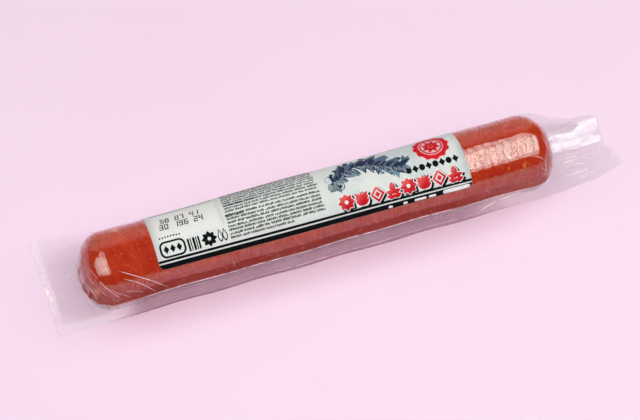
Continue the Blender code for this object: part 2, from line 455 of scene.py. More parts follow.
def paper_material(name, colour, shade, wash=None):
    """Coated label paper: faint fibre, slow changes of tone, and a cloudy wash over its right half."""
    nodes = Nodes(name)
    tone = nodes.plus(nodes.times(nodes.noise(900.0, 4.0, 0.7), 0.35), nodes.times(nodes.noise(24.0), 0.65))
    tint = nodes.ramp(tone, (0.35, shade), (0.62, colour))
    if wash:
        cloud = nodes.window(nodes.noise(75.0, 4.0, 0.62), 0.42, 0.64)
        right = nodes.window(nodes.axes()[0], -0.008, 0.012)
        tint = nodes.blend(nodes.times(cloud, right, 0.75), tint, wash)
    roughness = nodes.grey(tone, 0.3, 0.55, 0.7, 0.46)
    return nodes.surface(tint, roughness, 0.12, nodes.bump(nodes.noise(1500.0, 3.0, 0.6), 0.00004, 0.6))


def ink_material(name, colour, light=None):
    """Printing ink with uneven cover. Where the piece stores a tone, it runs from colour to light."""
    nodes = Nodes(name)
    grain = nodes.noise(1100.0, 3.0, 0.6)
    worn = tuple(min(1.0, part * 1.30 + 0.006) for part in colour)
    tint = nodes.ramp(grain, (0.40, colour), (0.72, worn))
    if light:
        tint = nodes.blend(nodes.stored("tone"), tint, light)
    roughness = nodes.grey(grain, 0.3, 0.42, 0.7, 0.55)
    return nodes.surface(tint, roughness, 0.04, nodes.bump(grain, 0.00003, 0.5))


# The sausage

MEAT_CAP_STEPS = 26
MEAT_LENGTH_STEPS = 140
MEAT_ROUND_STEPS = 132
MEAT_FLOOR = 0.2


def meat_rings():
    """Each ring along the sausage as (x, radius), without the two tips."""
    shares = [math.sin(0.5 * math.pi * i / MEAT_CAP_STEPS) for i in range(1, MEAT_CAP_STEPS)]
    left = [(LEFT_TIP + LEFT_CAP * cap_depth(s), RADIUS * s) for s in shares]
    middle = [(x, radius_at(x)) for x in steps(LEFT_SHOULDER, RIGHT_SHOULDER, MEAT_LENGTH_STEPS)]
    right = [(RIGHT_TIP - RIGHT_CAP * cap_depth(s), RADIUS * s) for s in shares]
    return left + middle + right[::-1]


def meat_relief(place):
    """How far the meat's skin stands in from the film: soft dimples and fine grain."""
    x, y, z = place
    coarse = 0.5 + 0.5 * wobble(x / 7.0, y / 5.0, z / 5.0)
    fine = 0.5 + 0.5 * wobble(x / 1.9, y / 1.9, z / 1.9)
    return -MEAT_DEPTH - MEAT_RELIEF * (0.65 * coarse + 0.35 * fine)


def make_meat():
    """The sausage itself, as rings closed by a fan at each tip."""
    count = MEAT_ROUND_STEPS
    angles = [2.0 * math.pi * k / count for k in range(count)]
    rings = meat_rings()
    points = [round_axis(x, radius, angle) for x, radius in rings for angle in angles]
    faces = []
    for i in range(len(rings) - 1):
        for k in range(count):
            a, b = i * count + k, i * count + (k + 1) % count
            faces.append((a, a + count, b + count, b))
    left, right, last = len(points), len(points) + 1, (len(rings) - 1) * count
    points += [(LEFT_TIP, 0.0, AXIS_HEIGHT), (RIGHT_TIP, 0.0, AXIS_HEIGHT)]
    for k in range(count):
        after = (k + 1) % count
        faces.append((left, k, after))
        faces.append((right, last + after, last + k))
    piece = make_piece("sausage", points, faces, "vacuum_pack", meat_material())
    push_out(piece, meat_relief, MEAT_FLOOR)


# The film

FAN_STEPS = 110
DOME_STEPS = 42
FILLET_STEPS = 8
SEAM_STEPS = 24
CLING_ANGLE = 7.0
PLEAT_ANGLE = 21.0
FILM_FLOOR = 0.06

# Lengthwise folds of the right tail: how far back, drift back for each millimetre along, width and height
TAIL_FOLDS = ((-21.0, -0.10, 1.1, 0.8), (-14.5, 0.05, 0.8, -0.7), (-9.0, 0.12, 0.9, 0.8),
              (17.0, 0.05, 1.2, 0.7))


def film_stations():
    """Stations along the straight part, closer together where the label leaves the film bare."""
    left = steps(LEFT_SHOULDER, LABEL_LEFT + 4.0, 32)
    middle = steps(LABEL_LEFT + 4.0, LABEL_RIGHT - 4.0, 56)
    right = steps(LABEL_RIGHT - 4.0, RIGHT_SHOULDER, 46)
    return left + middle[1:] + right[1:]


def film_rays():
    """Plan points (crest, outline, edge, pleat) of each section, anticlockwise from the front left."""
    front = film_stations()
    rays = [((x, 0.0), (x, -radius_at(x)), (x, -SEAM_HALF_WIDTH), 0.0) for x in front]
    rays += fan_rays(RIGHT_SHOULDER, RIGHT_CAP, SEAM_RIGHT, -1.0)
    rays += [((x, 0.0), (x, radius_at(x)), (x, SEAM_HALF_WIDTH), 0.0) for x in reversed(front)]
    rays += fan_rays(LEFT_SHOULDER, -LEFT_CAP, SEAM_LEFT, 1.0)
    return rays


def fan_rays(shoulder, cap, end, first_side):
    """The sections that fan out over one cap to the three edges of its tail."""
    near = first_side * SEAM_HALF_WIDTH
    side_length, end_length = abs(end - shoulder), 2.0 * SEAM_HALF_WIDTH
    perimeter = 2.0 * side_length + end_length
    rays = []
    for i in range(1, FAN_STEPS):
        turn = math.pi * i / FAN_STEPS
        run = perimeter * i / FAN_STEPS
        if run < side_length:
            edge = (shoulder + math.copysign(run, cap), near)
        elif run < side_length + end_length:
            edge = (end, near - first_side * (run - side_length))
        else:
            edge = (shoulder + math.copysign(perimeter - run, cap), -near)
        share = math.cos(turn)
        outline = (shoulder + cap * (1.0 - cap_depth(abs(share))), first_side * RADIUS * share)
        rays.append(((shoulder, 0.0), outline, edge, pleat_at(turn, shoulder)))
    return rays


def pleat_at(turn, seed):
    """How strongly the film is gathered there, from 0 to 1, as a row of uneven sharp pleats."""
    fade = smooth(math.sin(turn) * 1.4)
    phase = 8.6 * turn + 1.6 * wobble(2.1 * turn, seed)
    ridge = 1.0 - abs(math.sin(phase))
    return fade * ridge * (0.65 + 0.5 * wobble(3.0 * turn, 9.0 + seed))


def dome_height(x, y, out):
    """How far the film over the sausage stands from the waist plane."""
    radius = radius_at(x) * share_at(x) + out
    return math.sqrt(max(radius * radius - y * y, 0.0))


def tail_wrinkle(x, y):
    """Soft waves and lengthwise folds that both films of a tail share."""
    left = smooth((LEFT_TIP + 2.0 - x) / 9.0)
    right = smooth((x - RIGHT_TIP + 3.0) / 12.0)
    waves = 0.25 * left * wobble(x / 11.0, y / 8.0, 3.0)
    waves += 0.35 * right * wobble(x / 16.0, y / 5.0, 7.0)
    near = smooth((x - RIGHT_TIP + 14.0) / 12.0)
    swing = 2.0 * smooth((y + 6.0) / 14.0) - smooth((y - 8.0) / 10.0) - smooth((y + 14.0) / 8.0)
    waves += 1.1 * near * swing
    folds = sum(
        height * math.exp(-((y - at - drift * (x - RIGHT_TIP)) / width) ** 2)
        for at, drift, width, height in TAIL_FOLDS
    )
    return waves + right * folds


def film_section(ray, side):
    """One section of a film from its crest out to its edge, as (point, how much it is seam)."""
    crest, outline, edge, pleat = ray
    reach = math.dist(crest, outline)
    leave = math.radians(90.0 - CLING_ANGLE - PLEAT_ANGLE * max(pleat, 0.0))
    section = []
    for k in range(DOME_STEPS + 1):
        share = math.sin(leave * k / DOME_STEPS)
        x, y = mix(crest, outline, share)
        section.append((x, y, dome_height(x, y, FILM_OUT), 0.0))
    touch, before = section[-1], section[-2]
    run = math.dist(touch[:2], before[:2])
    onward = touch[2] * run / max(before[2] - touch[2], 0.001)
    waist = math.dist(crest, touch[:2]) + onward
    control = mix(crest, outline, waist / reach)
    foot_run = max(waist - reach, 0.0) * 1.8 + 0.5
    foot = mix(outline, edge, foot_run / math.dist(outline, edge))
    start, middle, end = Vector((*touch[:3],)), Vector((*control, 0.0)), Vector((*foot, 0.0))
    for k in range(1, FILLET_STEPS + 1):
        share = k / FILLET_STEPS
        spot = start * (1.0 - share) ** 2 + middle * 2.0 * share * (1.0 - share) + end * share**2
        section.append((*spot, share))
    for k in range(1, SEAM_STEPS + 1):
        x, y = mix(foot, edge, k / SEAM_STEPS)
        section.append((x, y, 0.0, 1.0))
    return [settle(x, y, height, seam, side) for x, y, height, seam in section]


def settle(x, y, height, seam, side):
    """Moves a point of a flat-seamed film to where it lies, as ((x, y, z), seam)."""
    folded, rise = seam_place(x, y)
    rise = (rise + tail_wrinkle(x, y)) * seam
    y += (folded - y) * seam
    z = AXIS_HEIGHT + side * (height + 0.5 * FILM_GAP * seam) + rise
    x += lean_at(x) * side * height
    return (x, y, max(z, FILM_FLOOR)), seam


def film_relief(place):
    """Fine crinkles of the film where it is pulled tight over the sausage."""
    x, y, z = place
    cap = max(smooth((LEFT_SHOULDER + 6.0 - x) / 12.0), smooth((x - RIGHT_SHOULDER + 6.0) / 12.0))
    fine = 0.5 + 0.5 * wobble(x / 2.6, y / 2.2, z / 2.2)
    return FILM_RELIEF * (0.8 + 0.8 * cap) * fine


def make_film(name, side, material):
    """One film, as a ring of sections that meet along its crest."""
    sections = [film_section(ray, side) for ray in film_rays()]
    size = len(sections[0])
    points = [point for section in sections for point, seam in section]
    seams = [seam for section in sections for point, seam in section]
    faces = []
    for i in range(len(sections)):
        here, after = i * size, (i + 1) % len(sections) * size
        for k in range(size - 1):
            face = (here + k, here + k + 1, after + k + 1, after + k)
            faces.append(face if side > 0.0 else face[::-1])
    piece = make_piece(name, points, faces, "vacuum_pack", material)
    point_values(piece, "seam", seams)
    merge_points(piece)
    push_out(piece, film_relief, FILM_FLOOR)
    thicken(piece, FILM_THICKNESS)


def merge_points(piece):
    """Merges the points that lie on each other along a film's crest."""
    work = bmesh.new()
    work.from_mesh(piece.data)
    bmesh.ops.remove_doubles(work, verts=work.verts, dist=0.002 * MM)
    work.to_mesh(piece.data)
    work.free()
    piece.data.update()


# Creases, as thin raised ridges on the film

CREASE_SIDES = 6
CONTACT_WIDTH = 0.34
CREASES_ON_SAUSAGE = (
    (0.30, ((-123.0, 52.6), (-120.1, 48.3), (-114.4, 38.9), (-108.1, 27.6), (-102.8, 15.8), (-98.8, 5.4))),
    (0.26, ((-121.0, 39.4), (-115.1, 30.2), (-110.4, 19.3), (-105.6, 2.8))),
    (0.20, ((-134.0, 46.0), (-131.5, 33.0), (-127.5, 20.0), (-124.5, 8.0))),
    (0.22, ((-139.5, 64.0), (-138.2, 48.0), (-135.8, 33.0), (-132.0, 18.0))),
    (0.16, ((-137.3, 72.0), (-135.4, 54.0), (-132.8, 39.0), (-129.4, 26.0))),
    (0.20, ((-141.0, 42.0), (-139.6, 28.0), (-137.2, 13.0))),
    (0.14, ((-129.5, 30.0), (-125.0, 19.0), (-119.6, 8.0))),
    (0.16, ((-121.4, 20.5), (-117.0, 16.0), (-112.2, 9.6))),
    (0.22, ((98.5, 61.2), (106.6, 54.7), (114.9, 48.8), (119.6, 39.1), (120.6, 22.3), (119.0, 9.9))),
    (0.18, ((121.5, 79.0), (123.5, 64.0), (124.6, 50.0), (125.0, 34.0))),
    (0.16, ((116.5, 30.0), (119.0, 24.0), (121.4, 15.0))),
    (0.14, ((84.0, 20.0), (85.5, 15.0), (86.0, 9.0))),
    (0.14, ((20.0, 24.0), (21.0, 17.0), (20.5, 12.0))),
    (0.14, ((-62.0, 21.0), (-61.0, 14.0), (-61.5, 9.0))),
)
CREASES_ON_SEAM = (
    (0.22, ((-146.7, 19.0), (-144.6, 15.0), (-142.1, 11.2))),
    (0.22, ((-152.9, 0.0), (-149.8, 3.2), (-147.3, 4.2), (-143.4, 4.2))),
    (0.26, ((-147.5, -4.5), (-146.6, -4.3), (-145.6, -4.0))),
    (0.60, ((-161.2, -1.5), (-159.9, -5.0), (-160.8, -9.0))),
    (0.50, ((-160.0, -10.0), (-161.0, -14.0), (-159.8, -18.5))),
    (0.42, ((-159.0, -4.5), (-158.4, -8.0), (-159.4, -12.0))),
    (0.20, ((-145.5, -8.0), (-141.8, -12.6), (-137.8, -17.6), (-133.0, -23.0))),
    (0.18, ((-150.0, -11.5), (-145.0, -14.5), (-139.0, -21.5))),
    (0.26, ((75.3, -30.2), (82.0, -27.4), (92.0, -25.4), (104.0, -24.2))),
    (0.14, ((-70.0, -29.6), (-20.0, -29.8), (30.0, -29.5), (78.0, -29.3))),
    (0.16, ((136.0, -6.1), (139.0, -9.0), (144.0, -11.5))),
    (0.22, ((137.3, -14.6), (141.0, -16.4), (144.5, -18.5))),
    (0.24, ((138.1, -27.2), (144.0, -25.8), (153.4, -26.6))),
    (0.18, ((131.5, -8.0), (141.0, -11.0), (152.0, -14.0), (159.0, -15.0))),
    (0.18, ((132.0, 6.0), (142.0, 7.2), (153.0, 8.6))),
    (0.16, ((131.5, 2.0), (140.0, 2.6), (150.0, 3.2))),
)


def spline(route, count):
    """Points along a smooth curve through the route's points."""
    ends = [route[0]] + list(route) + [route[-1]]
    spots = []
    for a, b, c, d in zip(ends, ends[1:], ends[2:], ends[3:]):
        for t in [k / count for k in range(count)]:
            spot = []
            for p, q, r, s in zip(a, b, c, d):
                square, cube = 2 * p - 5 * q + 4 * r - s, 3 * q - p - 3 * r + s
                spot.append(0.5 * (2 * q + (r - p) * t + square * t**2 + cube * t**3))
            spots.append(tuple(spot))
    return spots + [route[-1]]


def on_sausage(x, degrees):
    """A point of the film over the sausage."""
    radius = radius_at(x) * share_at(x) + FILM_OUT + FILM_RELIEF
    return Vector(round_axis(x, radius, math.radians(degrees)))


def on_seam(x, y):
    """A point of the upper film's seam."""
    place, seam = settle(x, y, 0.0, 1.0, 1.0)
    return Vector(place)


def add_ridge(points, faces, path, width):
    """A thin tube along the path that tapers to both ends."""
    first = len(points)
    for i, spot in enumerate(path):
        ahead = (path[min(i + 1, len(path) - 1)] - path[max(i - 1, 0)]).normalized()
        aside = ahead.orthogonal().normalized()
        other = ahead.cross(aside)
        taper = math.sin(math.pi * (i + 0.35) / (len(path) - 0.3)) ** 0.6
        for k in range(CREASE_SIDES):
            angle = 2.0 * math.pi * k / CREASE_SIDES
            offset = aside * math.cos(angle) + other * math.sin(angle)
            points.append(tuple(spot + offset * 0.5 * width * taper))
    for i in range(len(path) - 1):
        for k in range(CREASE_SIDES):
            a = first + i * CREASE_SIDES + k
            b = first + i * CREASE_SIDES + (k + 1) % CREASE_SIDES
            faces.append((a, b, b + CREASE_SIDES, a + CREASE_SIDES))
    last = first + (len(path) - 1) * CREASE_SIDES
    faces.append(tuple(first + k for k in reversed(range(CREASE_SIDES))))
    faces.append(tuple(last + k for k in range(CREASE_SIDES)))


def seal_creases(rng):
    """Short bright crinkles across the two end seals."""
    creases = []
    for end, inward, count in ((SEAM_LEFT, 1.0, 26), (SEAM_RIGHT, -1.0, 16)):
        for i in range(count):
            y = rng.uniform(-SEAM_HALF_WIDTH + 2.0, SEAM_HALF_WIDTH - 3.0)
            if end < 0.0:
                y = rng.gauss(-2.0, 9.0)
            start = end + inward * rng.uniform(0.3, 2.4)
            length, slant = rng.uniform(1.0, 4.5), rng.uniform(-0.5, 0.5)
            middle = (start + inward * (0.4 + slant) * 0.5, y - 0.5 * length)
            finish = (start + inward * slant, y - length)
            if abs(finish[1]) < SEAM_HALF_WIDTH and abs(y) < SEAM_HALF_WIDTH:
                creases.append((rng.uniform(0.24, 0.60), ((start, y), middle, finish)))
    return creases


def tail_streaks(rng):
    """Long soft streaks that fan out from the cap over the right tail."""
    streaks = []
    for i in range(15):
        y = -27.0 + 2.8 * i + rng.uniform(-1.0, 1.0)
        start = rng.uniform(131.0, 138.0)
        finish = min(start + rng.uniform(8.0, 21.0), SEAM_RIGHT - 1.0)
        drift = 0.10 * y * (finish - start) / 20.0
        middle = (0.5 * (start + finish), y + 0.5 * drift + rng.uniform(-0.5, 0.5))
        streaks.append((rng.uniform(0.12, 0.30), ((start, y), middle, (finish, y + drift))))
    return streaks


def contact_line():
    """The path where the front seam leaves the sausage."""
    return [on_seam(x, -radius_at(x) - 0.75) for x in steps(LEFT_SHOULDER + 4.0, RIGHT_SHOULDER, 150)]


def make_creases():
    rng = random.Random(11)
    points, faces = [], []
    add_ridge(points, faces, contact_line(), CONTACT_WIDTH)
    for width, route in CREASES_ON_SAUSAGE:
        add_ridge(points, faces, [on_sausage(*spot) for spot in spline(route, 6)], width)
    for width, route in CREASES_ON_SEAM + tuple(seal_creases(rng) + tail_streaks(rng)):
        add_ridge(points, faces, [on_seam(*spot) for spot in spline(route, 6)], width)
    make_piece("film_creases", points, faces, "vacuum_pack", crease_material())


# The label: places on it are (x, v), with v measured round the sausage from its front edge

LABEL_HEIGHT = (LABEL_BACK - LABEL_FRONT) * RADIUS
CUT_ROUND = 1.5
CUT_LENGTH = 6.0


def wrap(x, v, lift):
    """A point that lies this far above the label's underside."""
    twist = LABEL_TWIST * (x - LABEL_LEFT) / (LABEL_RIGHT - LABEL_LEFT)
    out = LABEL_OUT + lift + LABEL_WAVE * (0.5 + 0.5 * wobble(x / 17.0, v / 11.0, 5.0))
    return round_axis(x, radius_at(x) + out, LABEL_FRONT + twist + v / RADIUS)


def circle(x, v, wide, tall=None, count=24, reaches=(1.0,)):
    """The outline of an ellipse, or of a star if its corners reach out by turns to different shares."""
    tall = tall or wide
    loop = []
    for k in range(count):
        angle = 2.0 * math.pi * k / count
        reach = 0.5 * reaches[k % len(reaches)]
        loop.append((x + reach * wide * math.cos(angle), v + reach * tall * math.sin(angle)))
    return loop


def box(left, low, right, high):
    return [(left, low), (right, low), (right, high), (left, high)]


def round_box(left, low, right, high, corner, count=5):
    """The outline of a box with rounded corners."""
    centres = ((right - corner, low + corner, -90.0), (right - corner, high - corner, 0.0),
               (left + corner, high - corner, 90.0), (left + corner, low + corner, 180.0))
    loop = []
    for x, v, start in centres:
        for k in range(count + 1):
            angle = math.radians(start + 90.0 * k / count)
            loop.append((x + corner * math.cos(angle), v + corner * math.sin(angle)))
    return loop


def leaf(x, v, length, width, angle, count=7):
    """The outline of a pointed leaf that starts at (x, v)."""
    loop = []
    for k in range(count):
        t = k / count
        loop.append((length * t, -0.5 * width * math.sin(math.pi * t**0.8)))
    for k in range(count):
        t = 1.0 - k / count
        loop.append((length * t, 0.5 * width * math.sin(math.pi * t**0.8)))
    c, s = math.cos(angle), math.sin(angle)
    return [(x + p * c - q * s, v + p * s + q * c) for p, q in loop]


def flower(x, v, inner, length, width, turn=0.0):
    """Eight leaves that point out from a centre, from this far out, turned by a share of their spacing."""
    angles = [0.25 * math.pi * (k + turn) for k in range(8)]
    return [[leaf(x + inner * math.cos(a), v + inner * math.sin(a), length, width, a)] for a in angles]


def flat_sheet(name, shapes, lift, thickness, material, tone=None):
    """Cuts flat shapes, each an outline with its holes, and bends them round the sausage."""
    work = bmesh.new()
    for loops in shapes:
        corners = [work.verts.new((x, v, 0.0)) for loop in loops for x, v in loop]
        for triangle in tessellate_polygon([[Vector((x, v, 0.0)) for x, v in loop] for loop in loops]):
            face = work.faces.new([corners[k] for k in triangle])
            if face.calc_area() > 0.0:
                face.normal_update()
                if face.normal.z < 0.0:
                    face.normal_flip()
    cuts = ((1, 0.0, LABEL_HEIGHT, CUT_ROUND), (0, LABEL_LEFT, LABEL_RIGHT, CUT_LENGTH))
    for axis, low, high, gap in cuts:
        across = Vector([float(axis == i) for i in range(3)])
        for at in steps(low, high, round((high - low) / gap))[1:-1]:
            everything = work.verts[:] + work.edges[:] + work.faces[:]
            bmesh.ops.bisect_plane(work, geom=everything, plane_co=across * at, plane_no=across, dist=1e-5)
    work.verts.index_update()
    tones = [tone(vertex.co.x, vertex.co.y) for vertex in work.verts] if tone else []
    points = [wrap(vertex.co.x, vertex.co.y, lift) for vertex in work.verts]
    faces = [tuple(vertex.index for vertex in face.verts) for face in work.faces]
    work.free()
    piece = make_piece(name, points, faces, "label", material)
    if tone:
        point_values(piece, "tone", tones)
    thicken(piece, thickness, 1.0)


def label_edges(low, high, inset):
    """A band across the whole label between two heights, following its rounded corners."""
    corner = LABEL_CORNER
    left, right = [], []
    for v in steps(low, high, 8):
        depth = max(corner - v, v - (LABEL_HEIGHT - corner), 0.0)
        trim = corner - math.sqrt(max(corner * corner - depth * depth, 0.0)) + inset
        left.append((LABEL_LEFT + trim, v))
        right.append((LABEL_RIGHT - trim, v))
    return right + left[::-1]


def small_print(rng, left, right, v, height, dense=0.8):
    """A line of small upright strokes in groups, which reads as fine print from a step away."""
    strokes = []
    x = left
    while x < right - 1.5:
        end = min(x + rng.uniform(2.6, 8.0), right)
        while x < end:
            wide = rng.uniform(0.30, 0.56)
            tall = height * rng.choice((0.82, 0.82, 0.90, 1.0))
            low = v + rng.uniform(-0.04, 0.04)
            if rng.random() < dense:
                strokes.append([box(x, low, x + wide, low + tall)])
            else:
                strokes.append([box(x, low, x + 1.6 * wide, low + 0.4 * tall)])
            if rng.random() < 0.5:
                strokes.append([box(x, low + 0.60 * tall, x + 2.0 * wide, low + 0.86 * tall)])
            x += wide + rng.uniform(0.12, 0.28)
        x += rng.uniform(0.40, 0.75)
    return strokes


def dot_stamp(rows, left, low):
    """A stamped number in rows of plain dotted digits."""
    dots = []
    for row, digits in enumerate(rows):
        spots = set()
        for place, digit in enumerate(digits):
            for name in DIGIT_STROKES.get(digit, ""):
                a, b = STROKES[name]
                for t in (0.0, 0.5, 1.0):
                    across, up = a[0] + (b[0] - a[0]) * t, a[1] + (b[1] - a[1]) * t
                    spots.add((left[row] + 2.75 * place + 1.55 * across + 0.25 * up, low[row] + 1.6 * up))
        dots += [[circle(x, v, 0.84, 0.78, 8)] for x, v in sorted(spots)]
    return dots


# Each stroke of a plain digit, from and to a point of a grid 1 wide and 2 tall, and each digit's strokes
STROKES = {"a": ((0, 2), (1, 2)), "b": ((1, 2), (1, 1)), "c": ((1, 1), (1, 0)), "d": ((0, 0), (1, 0)),
           "e": ((0, 1), (0, 0)), "f": ((0, 2), (0, 1)), "g": ((0, 1), (1, 1))}
DIGIT_STROKES = {"0": "abcdef", "1": "bc", "2": "abdeg", "3": "abcdg", "4": "bcfg", "5": "acdfg",
                 "6": "acdefg", "7": "abc", "8": "abcdefg", "9": "abcdfg"}
UPRIGHT = 0.5 * math.pi


def ornament(kind, x, v, wide, tall, grow):
    """One ornament of the big red row, with its outline moved out by grow."""
    g, low = 2.0 * grow, v - 0.5 * tall
    if kind == "rosette":
        return flower(x, v, 0.0, 0.56 * tall + grow, 0.42 * wide + g)
    if kind == "frond":
        shapes = [[leaf(x, low - grow, tall + g, 0.34 * wide + g, UPRIGHT)]]
        for k in range(3):
            for angle in (38.0, 142.0):
                base = low + (0.06 + 0.23 * k) * tall - grow
                shapes.append([leaf(x, base, 0.60 * wide + grow, 0.27 * wide + g, math.radians(angle))])
        return shapes
    if kind == "sprig":
        shapes = [[leaf(x, low + 0.42 * tall - grow, 0.62 * tall + g, 0.42 * wide + g, UPRIGHT)]]
        shapes.append([box(x - 0.05 * wide - grow, low - grow, x + 0.05 * wide + grow, low + 0.6 * tall)])
        for k in range(2):
            for angle in (18.0, 162.0):
                base = low + (0.04 + 0.28 * k) * tall
                shapes.append([leaf(x, base, 0.54 * wide + grow, 0.32 * wide + g, math.radians(angle))])
        return shapes
    rim = circle(x, v, 0.98 * wide + 1.4 * g, 1.06 * tall + 1.4 * g, 4)
    hole = circle(x, v, 0.58 * wide - g, 0.64 * tall - g, 4)
    return [[rim, hole], [circle(x, v, 0.36 * wide + g, 0.40 * tall + g, 4)]]


ROW_LEFT = 1.6
ROW_PITCH = 8.9
ROW_LOW = 5.6
ROW_TALL = 8.6
ROW_WIDE = 8.3
ROW_MIDDLE = ROW_LOW + 0.5 * ROW_TALL
ROW_KINDS = ("rosette", "frond", "diamond", "sprig") * 2
ROW_PLACES = [(kind, ROW_LEFT + ROW_PITCH * (i + 0.5)) for i, kind in enumerate(ROW_KINDS)]


def red_row(grow, across=0.0, up=0.0):
    """The big red row's ornaments, moved, and with their outlines moved out by grow."""
    shapes = []
    for kind, x in ROW_PLACES:
        shapes += ornament(kind, x + across, ROW_MIDDLE + up, ROW_WIDE, ROW_TALL, grow)
    return shapes


def row_centres():
    """A pale dot on each rosette of the red row."""
    return [[circle(x, ROW_MIDDLE, 2.2, None, 14)] for kind, x in ROW_PLACES if kind == "rosette"]


def red_tone(x, v):
    """The row's red is lighter towards each ornament's upper left."""
    inside = ((x - ROW_LEFT) % ROW_PITCH) / ROW_PITCH
    upward = (v - ROW_LOW) / ROW_TALL
    return 0.8 * smooth(0.30 + 0.9 * (upward - 0.5) - 0.9 * (inside - 0.45))


SEAL_AT = (61.5, 30.5)


def seal_shapes(grow):
    """A plain round rosette seal: a scalloped rim, a ring, and a flower."""
    x, v = SEAL_AT
    rim = []
    for k in range(72):
        angle = 2.0 * math.pi * k / 72
        reach = 9.7 + grow + 0.5 * math.cos(12.0 * angle)
        rim.append((x + reach * math.cos(angle), v + reach * math.sin(angle)))
    shapes = [[rim, circle(x, v, 2.0 * (7.0 - grow), None, 48)]]
    shapes.append([circle(x, v, 2.0 * (6.3 + grow), None, 48), circle(x, v, 2.0 * (5.5 - grow), None, 48)])
    shapes += flower(x, v, 1.1, 4.2 + grow, 2.5 + 2.0 * grow, 0.5)
    shapes.append([circle(x, v, 2.4 + grow)])
    return shapes


# The stem's bends: how far they turn in all, and where they start, in radians
STEM_TURN = 5.6
STEM_START = -0.7

# The garland's inks: the layer and colour of each
GARLAND_INKS = {
    "navy": (3, (0.016, 0.026, 0.056)),
    "slate": (2, (0.080, 0.115, 0.175)),
    "teal": (1, (0.135, 0.225, 0.275)),
    "pale": (0, (0.47, 0.53, 0.53)),
    "light": (4, (0.46, 0.54, 0.57)),
}

# The garland's leaves, back to front: inks, count, shortest, longest, and width as a share of length
GARLAND_LEAVES = (
    (("teal", "slate"), 26, 7.5, 11.5, 0.40),
    (("slate", "navy", "teal"), 34, 5.5, 9.5, 0.34),
    (("navy", "navy", "slate"), 44, 3.0, 6.5, 0.38),
)


def garland_stem(t):
    """A point of the garland's stem, from its left end at 0 to its right end at 1."""
    return (1.0 + 43.0 * t, 25.0 + 4.6 * math.sin(STEM_TURN * t + STEM_START) + 2.5 * t)


def garland(rng):
    """A herb garland in five inks: leaf sprays of several sizes along a curved stem, with berries."""
    inks = {name: [] for name in GARLAND_INKS}
    for k in range(14):
        x, v = garland_stem((k + 0.5) / 14.0)
        wide = rng.uniform(5.0, 9.0)
        inks["pale"].append([circle(x, v + rng.uniform(-1.5, 3.5), wide, 0.8 * wide, 20)])
    for k in range(40):
        a, b = garland_stem(k / 40.0), garland_stem((k + 1) / 40.0)
        slope = math.atan2(b[1] - a[1], b[0] - a[0])
        aside, up = -0.3 * math.sin(slope), 0.3 * math.cos(slope)
        inks["navy"].append([[(a[0] - aside, a[1] - up), (b[0] - aside, b[1] - up),
                              (b[0] + aside, b[1] + up), (a[0] + aside, a[1] + up)]])
    for names, count, shortest, longest, slim in GARLAND_LEAVES:
        for k in range(count):
            t = (k + rng.uniform(0.2, 0.8)) / count
            x, v = garland_stem(t)
            side = 1.0 if k % 2 else -1.0
            angle = 0.4 * math.cos(STEM_TURN * t + STEM_START) + side * rng.uniform(0.45, 1.45)
            length = rng.uniform(shortest, longest) * (0.75 + 0.35 * math.sin(math.pi * t))
            if side < 0.0:
                length = min(length, 8.0)
            inks[names[k % len(names)]].append([leaf(x, v, length, slim * length, angle)])
            if k % 2 == 0:
                start = (x + 0.8 * math.cos(angle), v + 0.8 * math.sin(angle))
                inks["light"].append([leaf(*start, 0.72 * length, 0.2, angle, 4)])
    for k in range(46):
        x, v = garland_stem(rng.uniform(0.02, 0.98))
        wide = rng.uniform(0.9, 2.2)
        spot = circle(x + rng.uniform(-2.0, 2.0), v + rng.uniform(-6.0, 8.5), wide, None, 14)
        inks[rng.choice(("navy", "slate", "navy"))].append([spot])
    return inks


def seed_motif():
    """Two small round seeds with ribbed shells, as the shapes of their dark ink and of their tint."""
    dark = [[circle(5.6, 19.6, 5.2, 5.4, 20), circle(5.6, 19.6, 4.3, 4.5, 20)]]
    for k in range(7):
        dark.append([leaf(5.6, 19.6, 2.0, 0.62, 0.3 + 2.0 * math.pi * k / 7.0, 5)])
    for k in range(5):
        dark.append([box(-0.3 + 0.75 * k, 17.1 + 0.2 * (k % 2), 0.0 + 0.75 * k, 18.6 + 0.5 * (k % 3))])
    return dark, [[circle(-0.4 + 1.6, 20.0, 5.0, 5.6, 20)]]


def icon_row():
    """Plain marks at the lower left: a cartouche of diamonds, bars, a flower and two outlined leaves."""
    marks = [[round_box(-98.7, 5.7, -84.3, 15.0, 3.4, 8), round_box(-97.6, 6.8, -85.4, 13.9, 2.4, 8)]]
    for k in range(3):
        marks.append([circle(-95.1 + 3.6 * k, 10.35, 3.0, 4.6, 4)])
    for k in range(8):
        marks.append([circle(-96.9 + 1.55 * k, 17.1 + 0.35 * math.sin(0.45 * k), 1.1, 1.5, 4)])
    x = -83.2
    for wide, skip in ((1.1, 0.5), (0.6, 0.7), (1.3, 0.45), (0.6, 0.5), (1.0, 0.0)):
        marks.append([box(x, 6.2, x + wide, 13.2)])
        x += wide + skip
    marks += flower(-71.3, 10.2, 0.8, 3.6, 2.5)
    for x in (-65.2, -62.6):
        marks.append([leaf(x, 6.7, 7.2, 2.8, UPRIGHT), leaf(x, 7.6, 5.4, 1.7, UPRIGHT)])
    return marks


DASHES = ((28.1, 30.6), (36.6, 39.1), (43.1, 50.0), (51.3, 55.6))
LINE_HEIGHTS = (7.0, 9.1, 11.1, 13.1, 15.2, 17.3, 19.6, 22.2, 24.3, 26.4, 28.5, 30.6, 32.7, 34.8, 36.9,
                38.9, 40.9, 42.9)
BEADS_AT = 18.1
PAPER_WASH = (0.455, 0.535, 0.530)


